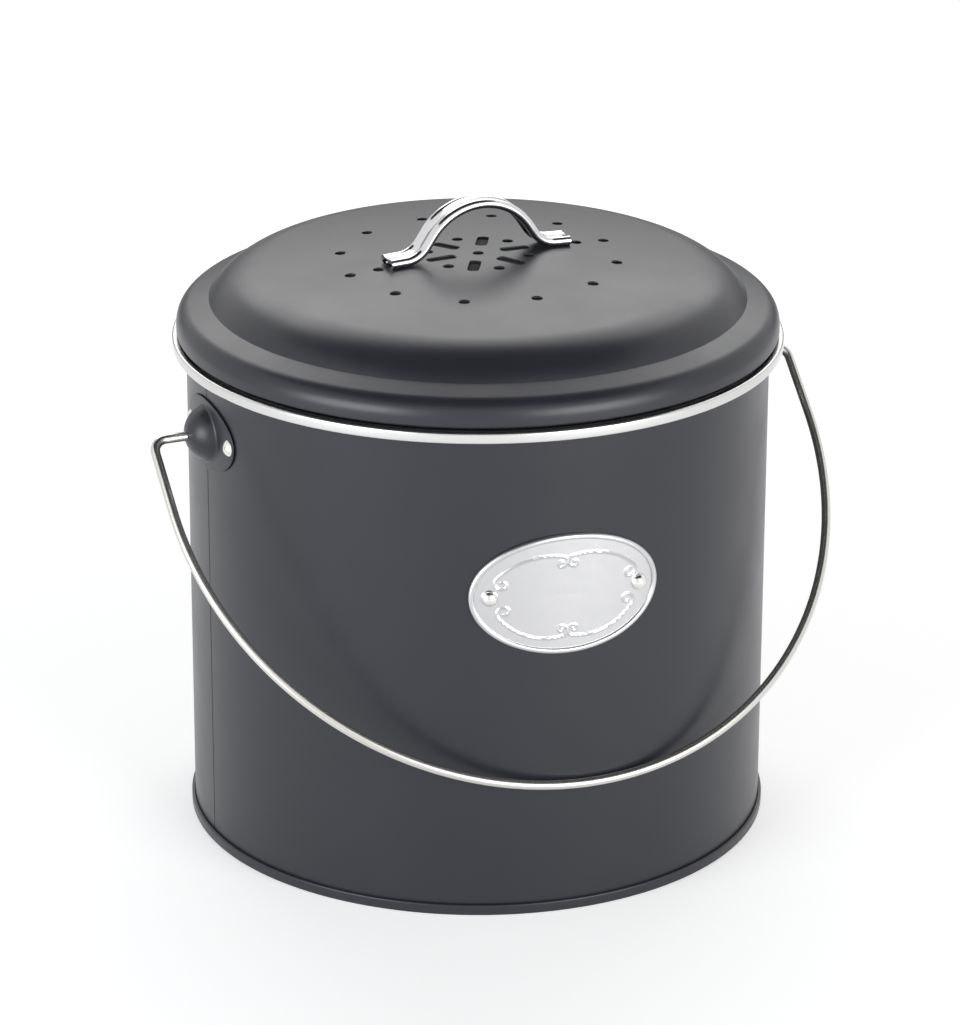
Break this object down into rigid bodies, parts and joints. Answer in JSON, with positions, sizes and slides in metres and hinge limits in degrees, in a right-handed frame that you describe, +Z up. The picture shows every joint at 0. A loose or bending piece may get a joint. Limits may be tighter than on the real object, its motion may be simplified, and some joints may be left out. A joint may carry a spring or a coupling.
{
  "type": "compost caddy",
  "caption": "Round sheet-steel kitchen compost caddy with a vented hinged lid, strap lid handle, swinging wire bail and a bare oval badge plate.",
  "frame": {"origin": "centre of the round body, on the surface that its base stands on", "axes": "+Z up the body's axis, -Y towards the front with the badge, +X along the bail's axis towards the right ear"},
  "size_m": [0.2608, 0.2314, 0.2373],
  "materials": {
    "paint": "anthracite powder coat, satin with a fine orange peel",
    "rim_metal": "bright tinned steel band",
    "badge_metal": "bright pressed plate",
    "rivet_metal": "bright plated rivet heads",
    "hinge_metal": "zinc-plated steel",
    "strap_chrome": "polished chrome plate",
    "screw_metal": "zinc-plated steel",
    "seal_rubber": "matt black rubber",
    "carbon_felt": "black activated-carbon felt",
    "bail_metal": "nickel-plated wire"
  },
  "bodies": {
    "caddy": {"body_wall": "paint", "base_pan": "paint", "rim_trim": "rim_metal", "ear_left": "paint", "ear_right": "paint", "ear_rivet_left_front": "rivet_metal", "ear_rivet_left_rear": "rivet_metal", "ear_rivet_right_front": "rivet_metal", "ear_rivet_right_rear": "rivet_metal", "badge_plate": "badge_metal", "badge_rivet_left": "rivet_metal", "badge_rivet_right": "rivet_metal", "hinge_body_leaf": "hinge_metal", "hinge_pin": "hinge_metal", "hinge_body_rivet_left": "hinge_metal", "hinge_body_rivet_right": "hinge_metal"},
    "lid": {"lid_shell": "paint", "lid_collar": "paint", "lid_seal": "seal_rubber", "lid_handle": "strap_chrome", "handle_screw_left": "screw_metal", "handle_screw_right": "screw_metal", "handle_nut_left": "screw_metal", "handle_nut_right": "screw_metal", "filter_pad": "carbon_felt", "filter_clip_1": "screw_metal", "filter_clip_2": "screw_metal", "filter_clip_3": "screw_metal", "filter_clip_4": "screw_metal", "hinge_lid_leaf": "hinge_metal", "hinge_lid_rivet_left": "hinge_metal", "hinge_lid_rivet_right": "hinge_metal"},
    "bail": {"bail_wire": "bail_metal"}
  },
  "joints": [
    {"name": "lid_hinge", "type": "hinge", "parent": "caddy", "child": "lid", "pos_m": [0, 0.11595, 0.188], "axis": [-1, 0, 0], "range_deg": [0, 100]},
    {"name": "bail_swing", "type": "hinge", "parent": "caddy", "child": "bail", "pos_m": [0, 0, 0.162], "axis": [-1, 0, 0], "range_deg": [0, 271]}
  ]
}
